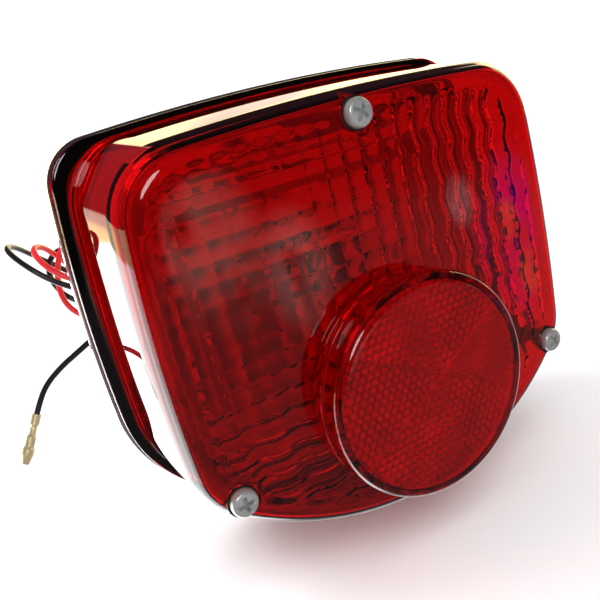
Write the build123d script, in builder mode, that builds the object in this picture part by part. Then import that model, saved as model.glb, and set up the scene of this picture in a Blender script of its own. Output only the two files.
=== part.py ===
from build123d import *
import os
from math import atan, degrees, hypot, pi, radians, sin, tan

# Motorcycle tail light: a red acrylic lens with a round reflex reflector, clamped by three long
# screws through a gasket onto a chromed steel base pan that carries a two-filament bulb in a
# bayonet socket. Millimetres. +Z is up, the lens faces -Y, and the origin is the middle of the
# pan's rear face, between the two mounting studs. Heights "h" are measured forwards from that
# rear face, so a point at height h has Y = -h.

# Lens outline: four shallow arcs that meet in rounded corners, taken at the lens front
half_width = 69.8
widest_z = -6.0
side_arc = 439.0
top_z = 62.0
top_arc = 724.0
bottom_z = -62.2
bottom_arc = 97.5
front_top_corner = 19.7
front_bottom_corner = 19.4
back_top_corner = 20.0
back_bottom_corner = 40.0

# Lens shell
lens_depth = 42.8  # from the flange's front face to the front corners
lens_wall = 2.6
lens_draft = 5.2  # degrees
lens_edge_radius = 3.9
crown_arc = 600.0  # the front bulges from side to side on this radius
crown_rise = 3.0
flange_width = 3.9
flange_thickness = 4.0
flange_top_corner = 15.0
flange_bottom_corner = 44.0
flange_chin = 1.2  # the flange's bottom ledge is narrower than its sides

# Base pan and gasket
pan_depth = 12.0
sheet = 0.8
pan_lip = 0.9  # the pan's rim stands this far outside the lens flange
pan_lip_return = 2.6
dish_step = 3.8  # the dish's mouth lies this far inside the lens flange's edge
dish_draft = 7.0
dish_floor_radius = 2.0
gasket_thickness = 1.5
gasket_inset = 0.5
gasket_overhang = 0.4  # bare metal between the gasket's inner edge and the dish's mouth

# Lens screws, washers and posts
screw_top_inset = 6.2
screw_side_inset = 10.1
screw_low_inset = 7.4
screw_shank_d = 3.9
screw_engagement = 13.6
screw_head_d = 8.0
screw_head_height = 2.8
screw_head_round = 1.7
screw_recess_width = 1.1
screw_recess_span = 4.6
screw_recess_depth = 1.5
lens_hole_clearance = 0.09
post_hole_clearance = 0.05
boss_d = 9.0
boss_reach = 6.5  # the bosses end this far in front of the flange
boss_gap = 0.5  # the posts stop this far short of the bosses
post_d = 6.4
post_hole_depth = 18.0
seat_depth = 1.0
seat_clearance = 0.3
washer_border = 0.6
washer_thickness = 0.8

# Reflex reflector
reflector_z = -22.0
reflector_radius = 33.5
reflector_seat = 3.2  # its welded seam stands this far in front of the crown
reflector_side = 5.7
reflector_shoulder_height = 3.1
reflector_shoulder_width = 3.7
reflector_wall = 3.0
reflector_face_thickness = 2.6
backing_thickness = 1.6
fit_gap = 0.1

# Clear number-plate window in the lens floor
window_length = 56.0
window_inset = 8.5
window_width = 20.0
window_gap = 0.05

# Bulb: a bayonet base with staggered pins and a round globe, heights from the base's rear edge
base_radius = 7.5
base_wall = 0.5
base_length = 15.4
insulator_step = 0.7
pad_height = 0.6
insulator_reach = 1.55
globe_radius = 12.5
globe_rise = 32.4
neck_radius = 6.6
neck_rise = 4.4
glass_wall = 0.7
pin_radius = 1.0
pin_rises = (4.4, 7.6)  # right-hand pin, left-hand pin
pin_length = 1.1
pin_clearance = 0.18
filament_rises = (26.4, 31.9)
filament_span = 7.0
filament_radius = 0.55
support_radius = 0.25
stem_radius = 2.4
stem_rise = 18.4
bulb_gap = 0.05

# Bulb holder
bulb_z = 12.0
base_clearance = 0.2
shell_wall = 1.0
shell_lead_in = 2.0
shell_back = -8.0
shell_back_lip = 1.0
shell_lip_width = 2.2
rivet_margin = 4.3
collar_margin = 4.0
collar_thickness = 1.0
rivet_d = 3.0
rivet_head_d = 5.4
rivet_head_height = 1.1
carrier_clearance = 0.3
carrier_back = 2.0
carrier_thickness = 2.5
contact_spacing = 7.0
contact_radius = 1.8
contact_stem_radius = 1.2
contact_height = 0.9
contact_tail = 3.0
spring_wire = 0.9
spring_clearance = 1.0
spring_turns = 4.5
press_travel = 2.2
bulb_turn = 22.0  # degrees
boot_wall = 1.7
boot_front = -3.0
boot_back = -13.0
boot_nose_reach = 14.0
boot_nose_thickness = 3.8
boot_nose_height = 9.6

# Inner reflector dish
liner_margin = (24.8, 21.0)  # from the lens's widest place, and from its top
liner_corner = 13.0
liner_back = 3.2
liner_depth = 16.0
liner_flare = 24.0
liner_sheet = 0.7
liner_hole_clearance = 0.6

# Mounting studs
stud_spacing = 64.0
stud_d = 6.0
stud_reach = 18.0
stud_head_d = 12.0
stud_head_height = 1.6
stud_shoulder_d = 6.8  # pressed through the pan, so the thread starts at its rear face
stud_gap = 0.05

# Leads: black to the tail filament, red to the brake filament
lead_d = 2.0
terminal_length = 17.5
terminal_head_d = 4.0

# Heights worked out from the sizes above
gasket_back = pan_depth
flange_back = pan_depth + gasket_thickness
flange_front = flange_back + flange_thickness
corner_height = flange_front + lens_depth
crown_height = corner_height + crown_rise
form_height = crown_height + 3.0
crown_centre = crown_height - crown_arc
boss_end = flange_front + boss_reach
post_front = boss_end - boss_gap
window_near = flange_front + window_inset
window_far = window_near + window_width
reflector_seat_height = crown_height + reflector_seat
reflector_rim_height = reflector_seat_height + reflector_side
reflector_face_height = reflector_rim_height + reflector_shoulder_height
reflector_face_radius = reflector_radius - reflector_shoulder_width

# Outlines worked out from them
back_grow = lens_depth * tan(radians(lens_draft))
form_grow = -(form_height - corner_height) * tan(radians(lens_draft))
flange_grow = back_grow + flange_width
dish_grow = flange_grow - dish_step
gasket_inner_grow = dish_grow + gasket_overhang
lip_grow = flange_grow + pan_lip
floor_grow = dish_grow - pan_depth * tan(radians(dish_draft))
liner_half = (half_width - liner_margin[0], top_z - liner_margin[1])

# Screws
screw_low_x = half_width - screw_side_inset
chin_line = bottom_z + bottom_arc - (bottom_arc**2 - screw_low_x**2) ** 0.5
screw_spots = {
    "top": (0.0, top_z - screw_top_inset),
    "left": (-screw_low_x, chin_line + screw_low_inset),
    "right": (screw_low_x, chin_line + screw_low_inset),
}
lens_hole_d = screw_shank_d + 2 * lens_hole_clearance
post_hole_d = screw_shank_d + 2 * post_hole_clearance
washer_d = screw_head_d + 2 * washer_border

# Bulb holder
shell_bore = base_radius + base_clearance
shell_radius = shell_bore + shell_wall
pin_reach = base_radius + pin_length
rivet_spacing = 2 * (shell_radius + rivet_margin)
collar_length = rivet_spacing + 2 * collar_margin
collar_width = 2 * (shell_radius + 3.3)
carrier_radius = shell_bore - carrier_clearance
carrier_front = carrier_back + carrier_thickness
contact_face = carrier_front + contact_height + bulb_gap
insulator_back = contact_face + pad_height
insulator_radius = base_radius - insulator_step
base_back = insulator_back + insulator_reach
base_front = base_back + base_length
neck_back = base_back + neck_rise
globe_height = base_back + globe_rise
stem_front = base_back + stem_rise
filament_heights = [base_back + rise for rise in filament_rises]
pin_heights = [base_back + rise for rise in pin_rises]
shell_mouth = base_front + shell_lead_in
spring_floor = shell_back + shell_back_lip
spring_radius = shell_bore - spring_clearance - spring_wire / 2
boot_bore = shell_radius + 0.05
boot_radius = boot_bore + boot_wall


def crown(x):
    """Height of the lens's crowned front at x."""
    return crown_centre + (crown_arc**2 - x**2) ** 0.5


def seat(x):
    """Height of a screw's sunk seat at x."""
    return crown(x) - seat_depth


def facing(height):
    """A sketch plane at a height: its x is X, its y is Z, and it is extruded forwards."""
    return Plane.XZ.offset(height)


def across(x, z):
    """The plane through a fore-and-aft axis at (x, z), for profiles that are turned about it."""
    return Plane(origin=(x, 0, z), x_dir=(1, 0, 0), z_dir=(0, 0, 1))


def shield(grow, top_corner, bottom_corner, chin=0.0):
    """The lens outline grown outwards by grow; chin lifts its bottom arc."""
    with BuildSketch() as outline:
        with Locations((0, top_z - top_arc)):
            Circle(top_arc + grow)
        with Locations(Location((half_width - side_arc, widest_z), 180)):
            Circle(side_arc + grow, mode=Mode.INTERSECT)
        with Locations((side_arc - half_width, widest_z)):
            Circle(side_arc + grow, mode=Mode.INTERSECT)
        with Locations((0, bottom_z + bottom_arc)):
            Circle(bottom_arc + grow - chin, mode=Mode.INTERSECT)
        corners = outline.vertices().group_by(Axis.Y)
        fillet(corners[-1], top_corner)
        low = outline.vertices().group_by(Axis.Y)
        fillet(low[0], bottom_corner)
    return outline.sketch


def rim_shield(grow):
    """The squarer outline shared by the flange, the gasket and the pan."""
    return shield(grow, flange_top_corner, flange_bottom_corner, flange_chin)


def lens_form(inset, back, edge_radius):
    """The lens's drafted, crowned block, drawn inset from the outside by a wall."""
    reach = (flange_front - back) * tan(radians(lens_draft))
    with BuildPart() as form:
        with BuildSketch(facing(back)):
            add(shield(back_grow + reach - inset, back_top_corner - inset, back_bottom_corner - inset))
        with BuildSketch(facing(form_height)):
            add(shield(form_grow - inset, front_top_corner - inset, front_bottom_corner - inset))
        loft(ruled=True)
        with Locations((0, -crown_centre, 0)):
            Cylinder(crown_arc - inset, 400, mode=Mode.INTERSECT)
        front = form.faces().sort_by(Axis.Y)[0]
        fillet(front.edges(), edge_radius)
    return form.part


def turned(x, z, profile):
    """A solid turned about the fore-and-aft axis at (x, z) from (radius, height) points."""
    with BuildPart() as shape:
        with BuildSketch(across(x, z)):
            with BuildLine():
                Polyline([(radius, -height) for radius, height in profile], close=True)
            make_face()
        revolve(axis=Axis((x, 0, z), (0, 1, 0)))
    return shape.part


def disc(x, z, radius, low, high, bore=0.0):
    """A turned disc or ring between two heights."""
    return turned(x, z, [(bore, low), (radius, low), (radius, high), (bore, high)])


os.makedirs("parts", exist_ok=True)

# ---------------------------------------------------------------- lens
lens_block = lens_form(0.0, flange_front, lens_edge_radius)
lens_hollow = lens_form(lens_wall, flange_back, max(lens_edge_radius - lens_wall + 0.6, 1.0))

with BuildPart() as lens_wall_form:
    add(lens_block)
    add(lens_hollow, mode=Mode.SUBTRACT)

window_depth = (window_near + window_far) / 2
with BuildPart() as lens:
    add(lens_block)
    with BuildSketch(facing(flange_back)):
        add(rim_shield(flange_grow))
    extrude(amount=flange_thickness)
    add(lens_hollow, mode=Mode.SUBTRACT)
    # bosses round the screws, from the front wall back towards the posts
    for spot_x, spot_z in screw_spots.values():
        with BuildSketch(facing(boss_end)):
            with Locations((spot_x, spot_z)):
                Circle(boss_d / 2)
        extrude(amount=seat(spot_x) - boss_end)
    # ring that the reflector is welded to
    with BuildSketch(facing(corner_height)):
        with Locations((0, reflector_z)):
            Circle(reflector_radius)
            Circle(reflector_radius - reflector_wall, mode=Mode.SUBTRACT)
    extrude(amount=reflector_seat_height - corner_height)
    # sunk seats and screw holes
    for spot_x, spot_z in screw_spots.values():
        with BuildSketch(facing(seat(spot_x))):
            with Locations((spot_x, spot_z)):
                Circle(washer_d / 2 + seat_clearance)
        extrude(amount=seat_depth + crown_rise, mode=Mode.SUBTRACT)
        with BuildSketch(facing(boss_end)):
            with Locations((spot_x, spot_z)):
                Circle(lens_hole_d / 2)
        extrude(amount=form_height, mode=Mode.SUBTRACT)
    # opening for the number-plate window
    with Locations((0, -window_depth, bottom_z)):
        Box(window_length, window_far - window_near, 16, mode=Mode.SUBTRACT)
lens.part.label = "lens"
export_step(lens.part, "parts/lens.step")

with BuildPart() as plate_window:
    add(lens_wall_form.part)
    with Locations((0, -window_depth, bottom_z)):
        Box(
            window_length - 2 * window_gap,
            window_far - window_near - 2 * window_gap,
            15.8,
            mode=Mode.INTERSECT,
        )
plate_window.part.label = "plate_window"
export_step(plate_window.part, "parts/plate_window.step")

# ---------------------------------------------------------------- reflector
rim_inner = reflector_radius - reflector_wall
with BuildPart() as reflector_disc:
    with BuildSketch(across(0, reflector_z)):
        with BuildLine():
            Polyline(
                (0, -reflector_face_height),
                (reflector_face_radius, -reflector_face_height),
            )
            shoulder = JernArc(
                (reflector_face_radius, -reflector_face_height),
                (1, 0),
                reflector_radius - reflector_face_radius - 0.6,
                70,
            )
            Polyline(
                shoulder @ 1,
                (reflector_radius, -reflector_rim_height),
                (reflector_radius, -reflector_seat_height),
                (rim_inner, -reflector_seat_height),
                (rim_inner, reflector_face_thickness - reflector_face_height),
                (0, reflector_face_thickness - reflector_face_height),
                (0, -reflector_face_height),
            )
        make_face()
    revolve(axis=Axis((0, 0, reflector_z), (0, 1, 0)))
reflector_disc.part.label = "reflector_disc"
export_step(reflector_disc.part, "parts/reflector_disc.step")

with BuildPart() as reflector_backing:
    backing_front = reflector_seat_height + backing_thickness
    add(disc(0, reflector_z, rim_inner - fit_gap, reflector_seat_height, backing_front))
reflector_backing.part.label = "reflector_backing"
export_step(reflector_backing.part, "parts/reflector_backing.step")

# ---------------------------------------------------------------- gasket and base pan
with BuildPart() as lens_gasket:
    with BuildSketch(facing(gasket_back)):
        add(rim_shield(flange_grow - gasket_inset))
        add(rim_shield(gasket_inner_grow), mode=Mode.SUBTRACT)
    extrude(amount=gasket_thickness)
lens_gasket.part.label = "lens_gasket"
export_step(lens_gasket.part, "parts/lens_gasket.step")

with BuildPart() as dish_inside:
    with BuildSketch(facing(sheet)):
        add(rim_shield(floor_grow - sheet))
    with BuildSketch(facing(pan_depth)):
        add(rim_shield(dish_grow - sheet))
    loft(ruled=True)
    fillet(dish_inside.faces().sort_by(Axis.Y)[-1].edges(), dish_floor_radius - sheet)

with BuildPart() as base_pan:
    with BuildSketch(facing(0)):
        add(rim_shield(floor_grow))
    with BuildSketch(facing(pan_depth)):
        add(rim_shield(dish_grow))
    loft(ruled=True)
    fillet(base_pan.faces().sort_by(Axis.Y)[-1].edges(), dish_floor_radius)
    # flat rim under the gasket, and its edge turned back
    with BuildSketch(facing(pan_depth - sheet)):
        add(rim_shield(lip_grow))
    extrude(amount=sheet)
    with BuildSketch(facing(pan_depth - pan_lip_return)):
        add(rim_shield(lip_grow))
        add(rim_shield(lip_grow - sheet), mode=Mode.SUBTRACT)
    extrude(amount=pan_lip_return)
    add(dish_inside.part, mode=Mode.SUBTRACT)
    # holes for the socket, its rivets, the studs and the posts' spigots
    with BuildSketch(facing(0)):
        with Locations((0, bulb_z)):
            Circle(shell_radius + fit_gap)
            with GridLocations(rivet_spacing, 0, 2, 1):
                Circle(rivet_d / 2 + fit_gap)
        with GridLocations(stud_spacing, 0, 2, 1):
            Circle(stud_shoulder_d / 2 + stud_gap)
    extrude(amount=sheet, mode=Mode.SUBTRACT)
base_pan.part.label = "base_pan"
export_step(base_pan.part, "parts/base_pan.step")

# ---------------------------------------------------------------- posts, screws, washers
with BuildPart() as lens_posts:
    for x, z in screw_spots.values():
        add(
            turned(
                x,
                z,
                [
                    (0, sheet),
                    (post_d / 2, sheet),
                    (post_d / 2, post_front),
                    (post_hole_d / 2, post_front),
                    (post_hole_d / 2, post_front - post_hole_depth),
                    (0, post_front - post_hole_depth),
                ],
            )
        )
lens_posts.part.label = "lens_posts"
export_step(lens_posts.part, "parts/lens_posts.step")

for side, (x, z) in screw_spots.items():
    under_head = seat(x) + washer_thickness
    head_top = under_head + screw_head_height
    tip = post_front - screw_engagement
    shank = screw_shank_d / 2
    head = screw_head_d / 2
    with BuildPart() as screw:
        add(
            turned(
                x,
                z,
                [
                    (0, tip),
                    (shank - 0.5, tip),
                    (shank, tip + 0.8),
                    (shank, under_head),
                    (head, under_head),
                    (head, head_top),
                    (0, head_top),
                ],
            )
        )
        crown_edge = screw.edges().filter_by(GeomType.CIRCLE).group_by(Axis.Y)[0]
        fillet(crown_edge, screw_head_round)
        with BuildSketch(facing(head_top - screw_recess_depth)):
            with Locations((x, z)):
                Rectangle(screw_recess_span, screw_recess_width)
                Rectangle(screw_recess_width, screw_recess_span)
        extrude(amount=screw_recess_depth, mode=Mode.SUBTRACT)
    screw.part.label = f"lens_screw_{side}"
    export_step(screw.part, f"parts/lens_screw_{side}.step")

with BuildPart() as screw_washers:
    for x, z in screw_spots.values():
        add(disc(x, z, washer_d / 2, seat(x), seat(x) + washer_thickness, lens_hole_d / 2 + fit_gap))
screw_washers.part.label = "screw_washers"
export_step(screw_washers.part, "parts/screw_washers.step")

# ---------------------------------------------------------------- inner reflector dish
flare_reach = liner_depth * tan(radians(liner_flare))
liner_size = (2 * liner_half[0], 2 * liner_half[1])
with BuildPart() as liner_inside:
    with BuildSketch(facing(liner_back + liner_sheet)):
        RectangleRounded(liner_size[0] - 2 * liner_sheet, liner_size[1] - 2 * liner_sheet, liner_corner)
    extrude(amount=liner_depth, taper=-liner_flare)
with BuildPart() as inner_reflector:
    with BuildSketch(facing(liner_back)):
        RectangleRounded(liner_size[0], liner_size[1], liner_corner)
    extrude(amount=liner_depth, taper=-liner_flare)
    add(liner_inside.part, mode=Mode.SUBTRACT)
    with BuildSketch(facing(liner_back)):
        with Locations((0, bulb_z)):
            Circle(shell_radius + liner_hole_clearance)
    extrude(amount=liner_sheet, mode=Mode.SUBTRACT)
inner_reflector.part.label = "inner_reflector"
export_step(inner_reflector.part, "parts/inner_reflector.step")

# ---------------------------------------------------------------- bulb socket
slot_width = 2 * (pin_radius + pin_clearance)
slot_shift = (pin_reach + shell_bore) / 2 * sin(radians(bulb_turn))
slot_run = hypot(slot_shift, press_travel)
slot_lean = degrees(atan(slot_shift / press_travel))
with BuildPart() as socket_shell:
    add(disc(0, bulb_z, shell_radius, shell_back, shell_mouth, shell_bore))
    add(
        disc(
            0,
            bulb_z,
            shell_bore + 0.2,
            shell_back,
            spring_floor,
            shell_bore - shell_lip_width,
        )
    )
    # an L-shaped bayonet slot on each side, its foot sloping up to the locked place
    for turn, pin_height in zip((1, -1), pin_heights):
        with BuildSketch(Plane.YZ.offset(turn * (shell_bore - 1.5))):
            with Locations((press_travel / 2 - pin_height, bulb_z + turn * slot_shift / 2)):
                SlotCenterToCenter(slot_run, slot_width, rotation=turn * slot_lean)
            with Locations((press_travel - pin_height, bulb_z + turn * slot_shift)):
                Circle(slot_width / 2)
                Rectangle(
                    shell_mouth - pin_height + press_travel + 1,
                    slot_width,
                    align=(Align.MAX, Align.CENTER),
                )
        extrude(amount=turn * 4, mode=Mode.SUBTRACT)
socket_shell.part.label = "socket_shell"
export_step(socket_shell.part, "parts/socket_shell.step")

with BuildPart() as socket_collar:
    with BuildSketch(facing(sheet)):
        with Locations((0, bulb_z)):
            SlotOverall(collar_length, collar_width)
            Circle(shell_radius, mode=Mode.SUBTRACT)
            with GridLocations(rivet_spacing, 0, 2, 1):
                Circle(rivet_d / 2 + fit_gap, mode=Mode.SUBTRACT)
    extrude(amount=collar_thickness)
socket_collar.part.label = "socket_collar"
export_step(socket_collar.part, "parts/socket_collar.step")

rivet_front = sheet + collar_thickness
rivet_shank = rivet_d / 2
rivet_head = rivet_head_d / 2
with BuildPart() as socket_rivets:
    for x in (-rivet_spacing / 2, rivet_spacing / 2):
        add(
            turned(
                x,
                bulb_z,
                [
                    (0, -rivet_head_height),
                    (rivet_head - 0.8, -rivet_head_height),
                    (rivet_head, -0.2),
                    (rivet_head, 0),
                    (rivet_shank, 0),
                    (rivet_shank, rivet_front),
                    (rivet_head, rivet_front),
                    (rivet_head, rivet_front + 0.2),
                    (rivet_head - 0.8, rivet_front + rivet_head_height),
                    (0, rivet_front + rivet_head_height),
                ],
            )
        )
socket_rivets.part.label = "socket_rivets"
export_step(socket_rivets.part, "parts/socket_rivets.step")

contact_xs = (-contact_spacing / 2, contact_spacing / 2)
with BuildPart() as contact_carrier:
    add(disc(0, bulb_z, carrier_radius, carrier_back, carrier_front))
    with BuildSketch(facing(carrier_back)):
        with Locations((0, bulb_z)):
            with GridLocations(contact_spacing, 0, 2, 1):
                Circle(contact_stem_radius)
    extrude(amount=carrier_thickness, mode=Mode.SUBTRACT)
contact_carrier.part.label = "contact_carrier"
export_step(contact_carrier.part, "parts/contact_carrier.step")

with BuildPart() as socket_contacts:
    for x in contact_xs:
        add(
            turned(
                x,
                bulb_z,
                [
                    (0, carrier_back - contact_tail),
                    (contact_stem_radius, carrier_back - contact_tail),
                    (contact_stem_radius, carrier_front),
                    (contact_radius, carrier_front),
                    (contact_radius - 0.5, carrier_front + contact_height),
                    (0, carrier_front + contact_height),
                ],
            )
        )
socket_contacts.part.label = "socket_contacts"
export_step(socket_contacts.part, "parts/socket_contacts.step")

spring_height = carrier_back - spring_floor - spring_wire - 0.1
with BuildPart() as contact_spring:
    with BuildLine() as spring_path:
        Helix(
            pitch=spring_height / spring_turns,
            height=spring_height,
            radius=spring_radius,
            center=(0, -(spring_floor + spring_wire / 2 + 0.05), bulb_z),
            direction=(0, -1, 0),
        )
    with BuildSketch(Plane(origin=spring_path.line @ 0, z_dir=spring_path.line % 0)):
        Circle(spring_wire / 2)
    sweep(path=spring_path.line, is_frenet=True)
contact_spring.part.label = "contact_spring"
export_step(contact_spring.part, "parts/contact_spring.step")

with BuildPart() as socket_boot:
    add(disc(0, bulb_z, boot_radius, boot_back, boot_front))
    with Locations((-boot_nose_reach / 2, -(boot_back + 2.6), bulb_z + 1.5)):
        Box(boot_nose_reach, boot_nose_thickness, boot_nose_height)
    fillet(socket_boot.edges().filter_by(Axis.X).group_by(Axis.Y)[-1], 1.4)
    add(disc(0, bulb_z, boot_bore, boot_back + boot_wall, boot_front), mode=Mode.SUBTRACT)
socket_boot.part.label = "socket_boot"
export_step(socket_boot.part, "parts/socket_boot.step")

# ---------------------------------------------------------------- bulb
with BuildPart() as bulb_base:
    add(disc(0, bulb_z, base_radius, base_back, base_front, base_radius - base_wall))
bulb_base.part.label = "bulb_base"
export_step(bulb_base.part, "parts/bulb_base.step")

with BuildPart() as bulb_insulator:
    add(
        turned(
            0,
            bulb_z,
            [
                (0, insulator_back),
                (insulator_radius - 1, insulator_back),
                (insulator_radius, base_back),
                (insulator_radius, base_back + 1.2),
                (0, base_back + 1.2),
            ],
        )
    )
bulb_insulator.part.label = "bulb_insulator"
export_step(bulb_insulator.part, "parts/bulb_insulator.step")

with BuildPart() as bulb_contacts:
    for x in contact_xs:
        add(
            turned(
                x,
                bulb_z,
                [(0, contact_face), (1.2, contact_face), (1.6, insulator_back), (0, insulator_back)],
            )
        )
bulb_contacts.part.label = "bulb_contacts"
export_step(bulb_contacts.part, "parts/bulb_contacts.step")

with BuildPart() as bulb_pins:
    for turn, pin_height in zip((1, -1), pin_heights):
        with BuildSketch(Plane.YZ.offset(turn * base_radius)):
            with Locations((-pin_height, bulb_z)):
                Circle(pin_radius)
        extrude(amount=turn * pin_length)
bulb_pins.part.label = "bulb_pins"
export_step(bulb_pins.part, "parts/bulb_pins.step")

with BuildPart() as bulb_glass:
    with BuildSketch(across(0, bulb_z)):
        with BuildLine():
            shoulder_height = globe_height - (globe_radius**2 - neck_radius**2) ** 0.5
            Polyline((0, -neck_back), (neck_radius, -neck_back), (neck_radius, -shoulder_height))
            ThreePointArc(
                (neck_radius, -shoulder_height),
                (globe_radius, -globe_height),
                (0, -(globe_height + globe_radius)),
            )
            Line((0, -(globe_height + globe_radius)), (0, -neck_back))
        make_face()
        inner_globe = globe_radius - glass_wall
        inner_neck = neck_radius - glass_wall
        inner_shoulder = globe_height - (inner_globe**2 - inner_neck**2) ** 0.5
        with BuildLine():
            Polyline(
                (0, -(neck_back + glass_wall)),
                (inner_neck, -(neck_back + glass_wall)),
                (inner_neck, -inner_shoulder),
            )
            ThreePointArc(
                (inner_neck, -inner_shoulder),
                (inner_globe, -globe_height),
                (0, -(globe_height + inner_globe)),
            )
            Line((0, -(globe_height + inner_globe)), (0, -(neck_back + glass_wall)))
        make_face(mode=Mode.SUBTRACT)
    revolve(axis=Axis((0, 0, bulb_z), (0, 1, 0)))
bulb_glass.part.label = "bulb_glass"
export_step(bulb_glass.part, "parts/bulb_glass.step")

with BuildPart() as bulb_stem:
    add(disc(0, bulb_z, stem_radius, neck_back + glass_wall, stem_front))
bulb_stem.part.label = "bulb_stem"
export_step(bulb_stem.part, "parts/bulb_stem.step")

filament_rows = list(zip(filament_heights, (-1.0, 1.0)))
with BuildPart() as bulb_filaments:
    for height, offset in filament_rows:
        with Locations(Location((0, -height, bulb_z + offset), (0, 90, 0))):
            Cylinder(filament_radius, filament_span)
bulb_filaments.part.label = "bulb_filaments"
export_step(bulb_filaments.part, "parts/bulb_filaments.step")

with BuildPart() as filament_supports:
    for height, offset in filament_rows:
        for turn in (-1, 1):
            foot = (turn * stem_radius * 0.5, -stem_front, bulb_z + offset)
            wire_x = turn * (filament_span / 2 + support_radius)
            with BuildLine() as support_path:
                Polyline(
                    foot,
                    (wire_x, -(stem_front + 4), bulb_z + offset),
                    (wire_x, -(height + filament_radius), bulb_z + offset),
                )
            with BuildSketch(Plane(foot, z_dir=(0, -1, 0))):
                Circle(support_radius)
            sweep(path=support_path.line, transition=Transition.RIGHT)
filament_supports.part.label = "filament_supports"
export_step(filament_supports.part, "parts/filament_supports.step")

# ---------------------------------------------------------------- mounting studs
with BuildPart() as mounting_studs:
    for x in (-stud_spacing / 2, stud_spacing / 2):
        add(
            turned(
                x,
                0,
                [
                    (0, -stud_reach),
                    (stud_d / 2 - 0.8, -stud_reach),
                    (stud_d / 2, -stud_reach + 0.8),
                    (stud_d / 2, 0),
                    (stud_shoulder_d / 2, 0),
                    (stud_shoulder_d / 2, sheet),
                    (stud_head_d / 2, sheet),
                    (stud_head_d / 2 - 0.8, sheet + stud_head_height),
                    (0, sheet + stud_head_height),
                ],
            )
        )
mounting_studs.part.label = "mounting_studs"
export_step(mounting_studs.part, "parts/mounting_studs.step")

# ---------------------------------------------------------------- leads and their terminals
nose_y = -(boot_back + 2.6)
black_route = [
    (-boot_nose_reach, nose_y, bulb_z + 4),
    (-30, nose_y, bulb_z + 4),
    (-46, 14, 13),
    (-60, 18.5, 12),
    (-71, 21.5, 14.5),
    (-77.3, 24, 19),
    (-79.9, 27.5, 25.2),
    (-78.6, 31.5, 31.5),
    (-72.8, 35, 35),
    (-64.5, 33.5, 33),
    (-59, 26.5, 27),
    (-59, 17.5, 22),
    (-65, 10, 19.5),
    (-73, 8, 22.5),
    (-80.5, 9, 28),
    (-86.4, 11.5, 35),
    (-89.8, 19.2, 40.6),
    (-87.8, 30, 41.2),
    (-82, 39, 35),
    (-74, 41, 27),
    (-66, 38, 18),
    (-60, 31, 10),
    (-60.5, 21.5, 4.5),
    (-67, 13.5, 4.5),
    (-74.5, 12, 5.0),
    (-80.7, 14.5, 1.6),
    (-87.6, 18, -2.3),
    (-93.8, 21, -7.0),
    (-97.8, 22.8, -12.2),
    (-100.4, 22.1, -16.2),
]
red_route = [
    (-boot_nose_reach, nose_y, bulb_z - 1),
    (-30, nose_y, bulb_z - 1),
    (-45, 10.8, 9.8),
    (-59, 12, 9),
    (-69.5, 13.5, 10),
    (-76.4, 15.5, 13.5),
    (-79.2, 18.5, 19.5),
    (-78, 22, 27),
    (-74, 25.5, 34.5),
    (-68, 25, 41),
    (-60.5, 19.5, 42),
    (-56.5, 11, 37.5),
    (-60, 5.8, 30),
    (-67.5, 5.5, 25.2),
    (-75, 6.5, 26.8),
    (-80.6, 9, 32.6),
    (-82.8, 15, 38.2),
    (-79.8, 23.5, 39.2),
    (-75, 30.5, 33.5),
    (-70.5, 33, 26),
    (-66.5, 31.5, 17),
    (-64.5, 28, 8),
    (-64.5, 23.5, -1),
    (-65.5, 19.5, -9.5),
    (-67, 16.5, -18),
]


def corner_radii(route):
    """The largest even bend at each corner: 0.45 of the shorter run over the tangent of half the turn."""
    points = [Vector(*point) for point in route]
    radii = []
    for before, here, after in zip(points, points[1:], points[2:]):
        run = min((here - before).length, (after - here).length)
        turn = (here - before).get_angle(after - here)
        radii.append(0.45 * run / tan(radians(turn) / 2))
    return radii


def lead(route):
    """A round lead along straight runs joined by tangent arcs."""
    radii = corner_radii(route)
    with BuildPart() as cable:
        with BuildLine() as path:
            FilletPolyline(*route, radius=radii)
        with BuildSketch(Plane(origin=path.line @ 0, z_dir=path.line % 0)):
            Circle(lead_d / 2)
        sweep(path=path.line)
    length = path.wire().length
    section = pi * lead_d**2 / 4
    print("lead radii", [round(radius, 1) for radius in radii])
    print("lead length", round(length, 1), "volume ratio", cable.part.volume / (section * length))
    return cable.part


def terminal(route):
    """A brass bullet terminal on a lead's end: crimp, neck, barrel and bullet head."""
    head = terminal_head_d / 2
    reach = terminal_length
    start = route[-1]
    along = (Vector(*start) - Vector(*route[-2])).normalized()
    side = along.cross(Vector(0, 0, 1)).normalized()
    with BuildPart() as bullet:
        with BuildSketch(Plane(origin=start, x_dir=side, z_dir=side.cross(along))):
            with BuildLine():
                Polyline(
                    (0, 0),
                    (1.55, 0),
                    (1.55, 3.6),
                    (1.1, 4.4),
                    (1.1, 7.0),
                    (1.6, 8.0),
                    (1.6, reach - 6.2),
                    (head, reach - 5.2),
                    (head, reach - 3.4),
                    (head - 0.75, reach),
                    (0, reach),
                    close=True,
                )
            make_face()
        revolve(axis=Axis(start, tuple(along)))
    return bullet.part


with BuildPart() as black_lead:
    add(lead(black_route))
black_lead.part.label = "black_lead"
export_step(black_lead.part, "parts/black_lead.step")

with BuildPart() as red_lead:
    add(lead(red_route))
red_lead.part.label = "red_lead"
export_step(red_lead.part, "parts/red_lead.step")

with BuildPart() as black_terminal:
    add(terminal(black_route))
black_terminal.part.label = "black_terminal"
export_step(black_terminal.part, "parts/black_terminal.step")

with BuildPart() as red_terminal:
    add(terminal(red_route))
red_terminal.part.label = "red_terminal"
export_step(red_terminal.part, "parts/red_terminal.step")
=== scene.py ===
"""Motorcycle tail light: red acrylic lens with inner pillow optics, reflex reflector, chromed pan, bulb and leads."""

import bmesh
import bpy
import numpy as np
from bpy.props import FloatProperty, PointerProperty, StringProperty
from mathutils import Matrix, Vector


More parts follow.
